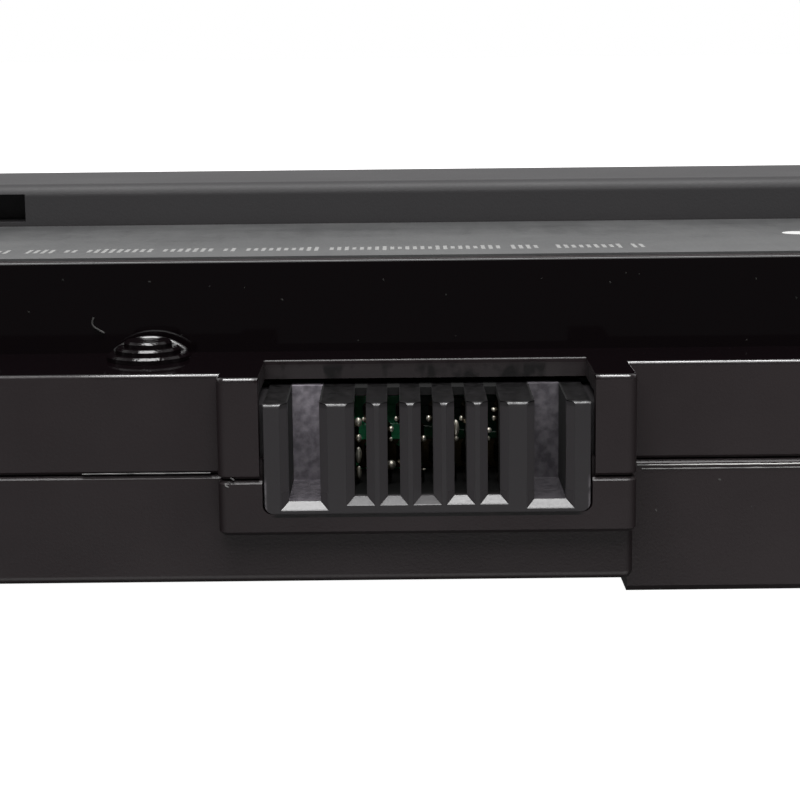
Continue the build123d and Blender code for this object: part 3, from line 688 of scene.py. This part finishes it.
def labelPrint():
    count = int((printRow["end"] - printRow["start"]) / printRow["pitch"])
    g = Growth("labelPrint", ticks=count, pitch=printRow["pitch"], width=printRow["width"],
               low=printRow["low"], high=printRow["high"], share=printRow["share"], seed=printRow["seed"])
    step = g.vector(g.given["pitch"], 0.0, 0.0)
    row = g.node("GeometryNodeMeshLine", {}, {"Count": g.given["ticks"], "Offset": step})
    spaced = g.node("ShaderNodeTexNoise", {"noise_dimensions": "1D"}, {
        "W": g.node("GeometryNodeInputIndex") * printRow["stride"], "Scale": 1.0, "Detail": 0.0})
    kept = g.node("FunctionNodeCompare", {"operation": "LESS_THAN"}, {0: spaced, 1: g.given["share"]})
    tick = g.node("GeometryNodeMeshCube", {}, {"Size": (1.0, 1.0, printRow["thick"])})
    tall = g.chance(g.given["low"], g.given["high"], g.given["seed"])
    ticks = g.node("GeometryNodeInstanceOnPoints", {}, {
        "Points": row, "Selection": kept, "Instance": tick, "Scale": g.vector(g.given["width"], tall, 1.0)})
    dot = g.node("GeometryNodeMeshCylinder", {}, {
        "Vertices": 32, "Radius": printRow["dotRadius"], "Depth": printRow["thick"]})
    placed = g.node("GeometryNodeTransform", {}, {
        "Geometry": dot, "Translation": (printRow["dot"] - printRow["start"], printRow["dotBack"], 0.0)})
    laid = g.node("GeometryNodeTransform", {}, {
        "Geometry": g.join(placed, ticks),
        "Translation": (printRow["start"], labelLow.y + printRow["back"], labelHigh.z)})
    g.grow(laid, printFinish(), "label_film")


labelPrint()

# thin weld flash that stands out of the seam, the upper bead on the main front painted white over most of its
# length as a painted highlight: x and z of its start and end in mm, and the wall it is on
flashes = dict(
    left=((-40.9, 8.62), (-33.1, 8.62), tongueY),
    right=((-6.9, 8.14), (70.0, 8.14), mainY),
    lower=((-6.6, 7.90), (52.0, 7.90), mainY),
)
flashLook = dict(
    thick=0.04 * mm, wave=0.035 * mm, wander=900.0, stepsPerMm=4, sides=8,
    dark=ink(0.06, 0.06, 0.06), grey=ink(0.30, 0.295, 0.29), white=ink(0.85, 0.84, 0.82), rough=0.3,
    patch=1.1 * mm, highlightFrom=-4 * mm, cleanTo=60 * mm, highlightAbove=8.0 * mm,
)


def flashFinish():
    f = Finish("flashAndHighlight")
    patchy = f.noise(flashLook["patch"], 3.0).above(0.5, 0.4)
    # painted highlight: white on the upper bead of the main front
    clean = f.x.between(flashLook["highlightFrom"], flashLook["cleanTo"], 6 * mm)
    clean = clean * f.z.above(flashLook["highlightAbove"], 0.1 * mm)
    grey = f.blend(patchy, flashLook["dark"], flashLook["grey"])
    return f.close(f.skin(baseColor=f.blend(clean, grey, flashLook["white"]), roughness=flashLook["rough"]))


flashAndHighlight = flashFinish()


def weldFlash(name, start, end, wallY):
    steps = int((end[0] - start[0]) * flashLook["stepsPerMm"])
    g = Growth(
        "weldFlash_" + name,
        start=(start[0] * mm, wallY, start[1] * mm), end=(end[0] * mm, wallY, end[1] * mm),
        thick=flashLook["thick"], wave=flashLook["wave"],
    )
    line = g.node("GeometryNodeCurvePrimitiveLine", {}, {"Start": g.given["start"], "End": g.given["end"]})
    fine = g.node("GeometryNodeResampleCurve", {}, {"Curve": line, "Count": steps})
    wander = g.node("ShaderNodeTexNoise", {}, {"Scale": flashLook["wander"], "Detail": 2.0})
    bent = g.node("GeometryNodeSetPosition", {}, {
        "Geometry": fine, "Offset": g.vector(0.0, 0.0, (wander - 0.5) * g.given["wave"])})
    ring = g.node("GeometryNodeCurvePrimitiveCircle", {}, {
        "Resolution": flashLook["sides"], "Radius": g.given["thick"]})
    bead = g.node("GeometryNodeCurveToMesh", {}, {"Curve": bent, "Profile Curve": ring, "Fill Caps": True})
    g.grow(bead, flashAndHighlight, "case_plastic")


for name, course in flashes.items():
    weldFlash(name, *course)

# crumbs of flash at the corner of the seam beside the connector: x, z and size in mm
crumbs = dict(
    places=((-31.66, 8.60, 0.11), (-32.0, 8.17, 0.13), (-31.82, 8.38, 0.07)),
    turn=(0.4, 1.1), lumps=(0.72, 1.1), long=1.5, thin=0.55, proud=0.02 * mm, seed=4,
)


def seamCrumbs():
    chance = random.Random(crumbs["seed"])
    form = bmesh.new()
    for x, z, size in crumbs["places"]:
        turn = Matrix.Rotation(chance.uniform(*crumbs["turn"]), 4, "Y")
        made = bmesh.ops.create_icosphere(form, subdivisions=2, radius=size * mm)
        for v in made["verts"]:
            v.co *= chance.uniform(*crumbs["lumps"])
            v.co = turn @ Vector((v.co.x * crumbs["long"], v.co.y * crumbs["thin"], v.co.z * crumbs["thin"]))
            v.co += Vector((x * mm, bossY + crumbs["proud"], z * mm))
    keep("seamCrumbs", form, flashAndHighlight)


seamCrumbs()

# a pale plated bead on the bump of the upper finger at each side of every slot, put where glints fall: plated
# metal with a painted glint
plated = dict(
    radius=0.20 * mm, least=0.7, most=1.1, slim=0.8,
    deep=4.05 * mm, aside=0.17 * mm, high=11.38 * mm, low=10.12 * mm, seed=9,
)
platedGlint = glintPlating()


def glintBeads():
    start, pitch = slotMiddles[0], slotMiddles[1] - slotMiddles[0]
    g = Growth("glintBeads", slots=len(contactNames), pitch=pitch, radius=plated["radius"],
               aside=plated["aside"], high=plated["high"], low=plated["low"], seed=plated["seed"])
    step = g.vector(g.given["pitch"], 0.0, 0.0)
    row = g.node("GeometryNodeMeshLine", {}, {"Count": g.given["slots"], "Offset": step})
    sides = (g.given["aside"], g.given["high"]), (0 - g.given["aside"], g.given["low"])
    rows = [
        g.node("GeometryNodeSetPosition", {}, {
            "Geometry": row, "Offset": g.vector(side + start, blockLow.y + plated["deep"], height)})
        for side, height in sides
    ]
    bead = g.node("GeometryNodeMeshIcoSphere", {}, {"Radius": g.given["radius"], "Subdivisions": 3})
    size = g.chance(plated["least"], plated["most"], g.given["seed"])
    beads = g.node("GeometryNodeInstanceOnPoints", {}, {
        "Points": g.join(*rows), "Instance": bead,
        "Scale": g.vector(size * plated["slim"], size * plated["slim"], size)})
    whole = g.node("GeometryNodeRealizeInstances", {}, {0: beads})
    g.grow(g.node("GeometryNodeSetShadeSmooth", {}, {0: whole}), platedGlint, "contact_gold")


glintBeads()

# bright streaks on single fingers, plated metal with a painted glint: slot, side of it, then height, half
# length and half width in mm
streaks = (
    (0, -1, 8.05, 0.42, 0.17), (0, -1, 9.15, 0.52, 0.20), (0, -1, 10.2, 0.26, 0.20),
    (0, -1, 11.2, 0.30, 0.22), (1, -1, 8.5, 0.30, 0.29), (1, -1, 10.75, 0.20, 0.18),
    (2, -1, 8.2, 0.08, 0.14), (3, -1, 10.75, 0.55, 0.20), (4, 1, 11.9, 0.14, 0.17),
    (4, -1, 10.62, 0.18, 0.20),
)


def glintStreaks():
    form = bmesh.new()
    for slot, side, z, half, wide in streaks:
        made = bmesh.ops.create_icosphere(form, subdivisions=3, radius=1.0)
        place = Vector((slotMiddles[slot] + side * plated["aside"], blockLow.y + plated["deep"], z * mm))
        for v in made["verts"]:
            v.co = place + Vector((v.co.x * wide, v.co.y * wide, v.co.z * half)) * mm
    for face in form.faces:
        face.smooth = True
    keep("glintStreaks", form, platedGlint)


glintStreaks()

# arched rim across the pip on the ledge: a fin with a rounded edge rubbed bright, its feet sunk in the ledge
arch = dict(
    bend=3.76 * mm, half=2.36 * mm, behind=1.2 * mm, rim=0.19 * mm, sunk=0.05 * mm, arcs=64, rounds=10,
    scuff=0.3 * mm, coatRough=0.32, coatIor=2.3,
)


def archPolish():
    f = Finish("archPolish")
    scuff = f.noise(arch["scuff"], 2.0)
    return f.close(f.skin(
        baseColor=f.blend(scuff, shellLook["gloss"], shellLook["grime"]), roughness=0.2 + scuff * 0.15,
        coatWeight=1.0, coatRoughness=arch["coatRough"], coatIor=arch["coatIor"],
    ))


def pipArch():
    form = bmesh.new()
    widest = math.asin(arch["half"] / arch["bend"])
    middle = Vector((pip["x"], pip["y"] + arch["behind"], ledgeZ + pip["rise"] - arch["bend"]))
    rows = []
    for k in range(arch["rounds"] + 1):
        lean = math.pi * (k / arch["rounds"] - 0.5)
        reach = arch["bend"] - arch["rim"] * (1 - math.cos(lean))
        y = arch["rim"] * math.sin(lean)
        turns = [widest * (2 * i / arch["arcs"] - 1) for i in range(arch["arcs"] + 1)]
        row = [middle + Vector((reach * math.sin(turn), y, reach * math.cos(turn))) for turn in turns]
        feet = [Vector((spot.x, spot.y, ledgeZ - arch["sunk"])) for spot in (row[0], row[-1])]
        rows.append([form.verts.new(spot) for spot in (feet[0], *row, feet[1])])
    for near, far in zip(rows, rows[1:]):
        for i in range(len(near) - 1):
            face = form.faces.new((near[i], near[i + 1], far[i + 1], far[i]))
            face.smooth = 0 < i < len(near) - 2
    form.faces.new(rows[0])
    form.faces.new(rows[-1])
    form.faces.new([row[0] for row in rows] + [row[-1] for row in reversed(rows)])
    bmesh.ops.recalc_face_normals(form, faces=form.faces)
    keep("pipArch", form, archPolish())


pipArch()

# lint caught on the polished wall: x and z of its points in mm
lint = dict(
    thick=0.065 * mm, proud=0.8, twist=0.2 * mm, rough=0.8,
    pale=ink(0.10, 0.097, 0.094), shade=ink(0.035, 0.034, 0.033),
    points=((-41.12, 17.02), (-41.24, 16.76), (-41.18, 16.46), (-40.9, 16.25), (-40.48, 16.02)),
)


def lintFinish():
    f = Finish("lintGrey")
    twist = f.noise(lint["twist"], 2.0)
    return f.close(f.skin(baseColor=f.blend(twist, lint["shade"], lint["pale"]), roughness=lint["rough"]))


def lintFibre():
    curve = bpy.data.curves.new("lint", "CURVE")
    curve.dimensions = "3D"
    curve.bevel_depth, curve.bevel_resolution = lint["thick"], 2
    curve.use_fill_caps = True
    line = curve.splines.new("NURBS")
    line.points.add(len(lint["points"]) - 1)
    for point, (x, z) in zip(line.points, lint["points"]):
        point.co = (x * mm, glossY - lint["thick"] * lint["proud"], z * mm, 1.0)
    line.order_u = 3
    line.use_endpoint_u = True
    strand = bpy.data.objects.new("lintStrand", curve)
    scene.collection.objects.link(strand)
    mesh = bpy.data.meshes.new_from_object(strand.evaluated_get(bpy.context.evaluated_depsgraph_get()))
    bpy.data.objects.remove(strand)
    mesh.materials.clear()
    mesh.materials.append(lintFinish())
    fibre = bpy.data.objects.new("lintFibre", mesh)
    scene.collection.objects.link(fibre)
    settle(fibre)


lintFibre()
print("pieces done")

# floor, seen by the camera alone
floorLook = dict(
    white=ink(0.85, 0.85, 0.85), mottled=ink(0.86, 0.86, 0.86), mottle=0.3, rough=0.8, glow=1.0,
    size=6.0, drop=0.05 * mm, squares=8,
)


def floorFinish():
    f = Finish("floorWhite")
    colour = f.blend(f.noise(floorLook["mottle"], 2.0), floorLook["white"], floorLook["mottled"])
    return f.close(f.skin(
        baseColor=colour, roughness=floorLook["rough"],
        emissionColor=ink(1, 1, 1), emissionStrength=floorLook["glow"],
    ))


bpy.ops.mesh.primitive_grid_add(
    x_subdivisions=floorLook["squares"], y_subdivisions=floorLook["squares"],
    size=floorLook["size"], location=(0, 0, -floorLook["drop"]),
)
floor = bpy.context.object
floor.name = "studioFloor"
floor.data.materials.append(floorFinish())
floor.visible_glossy = False
floor.visible_diffuse = False

# surroundings: pale behind the part and low in front of it, dim elsewhere, white to the camera
skyLook = dict(back=0.56, front=0.06, under=1.3)
world = bpy.data.worlds.new("studio")
scene.world = world
world.use_nodes = True
sky = Tree()
sky.tree = world.node_tree
sky.tree.nodes.clear()
around = sky.node("ShaderNodeTexCoord", out="Generated")
parts = sky.node("ShaderNodeSeparateXYZ", {}, {0: around}).socket.node.outputs
skyY, skyZ = Wire(sky, parts[1]), Wire(sky, parts[2])
behind = skyY.above(0.15, 0.5) * skyZ.above(-0.05, 0.1)
under = skyZ.between(-0.8, -0.4, 0.2) * skyY.below(-0.3, 0.4)
strength = skyLook["front"] + behind * (skyLook["back"] - skyLook["front"]) + under * skyLook["under"]
seen = sky.node("ShaderNodeLightPath", out="Is Camera Ray")
glow = sky.node("ShaderNodeBackground", {}, {
    "Color": ink(1, 1, 1), "Strength": strength + seen * (1 - strength)})
sky.node("ShaderNodeOutputWorld", {}, {"Surface": glow})

# soft boxes over the part, in metres
boxes = dict(
    overhead=dict(
        place=(-0.02, -0.125, 0.55), target=(-0.02, -0.02, 0.0), width=0.4, height=0.14, radiance=14.0,
    ),
    key=dict(
        place=(-0.05, -0.52, 0.52), target=(-0.02, 0.0, 0.0), width=0.7, height=0.3, radiance=3.4,
    ),
)


def softBox(name, place, target, width, height, radiance):
    data = bpy.data.lights.new(name, "AREA")
    data.shape = "RECTANGLE"
    data.size, data.size_y = width, height
    data.energy = radiance * math.pi * width * height
    lamp = bpy.data.objects.new(name, data)
    scene.collection.objects.link(lamp)
    lamp.location = place
    lamp.rotation_euler = (Vector(target) - Vector(place)).to_track_quat("-Z", "Y").to_euler()


for name, box in boxes.items():
    softBox(name, **box)

# the photo's camera, its angles in degrees
lens = dict(
    place=(-21.59 * mm, -142.66 * mm, 34.5 * mm), tilt=10.2, roll=-0.6,
    focal=90.86, sensor=36.0, nearest=0.005, farthest=20.0,
)
data = bpy.data.cameras.new("camera")
data.sensor_width, data.lens = lens["sensor"], lens["focal"]
data.clip_start, data.clip_end = lens["nearest"], lens["farthest"]
camera = bpy.data.objects.new("camera", data)
scene.collection.objects.link(camera)
tilted = Matrix.Rotation(math.radians(90 - lens["tilt"]), 4, "X")
rolled = Matrix.Rotation(math.radians(lens["roll"]), 4, "Z")
camera.matrix_world = Matrix.Translation(lens["place"]) @ tilted @ rolled
scene.camera = camera
scene.view_settings.view_transform = "Standard"
print("stage done")
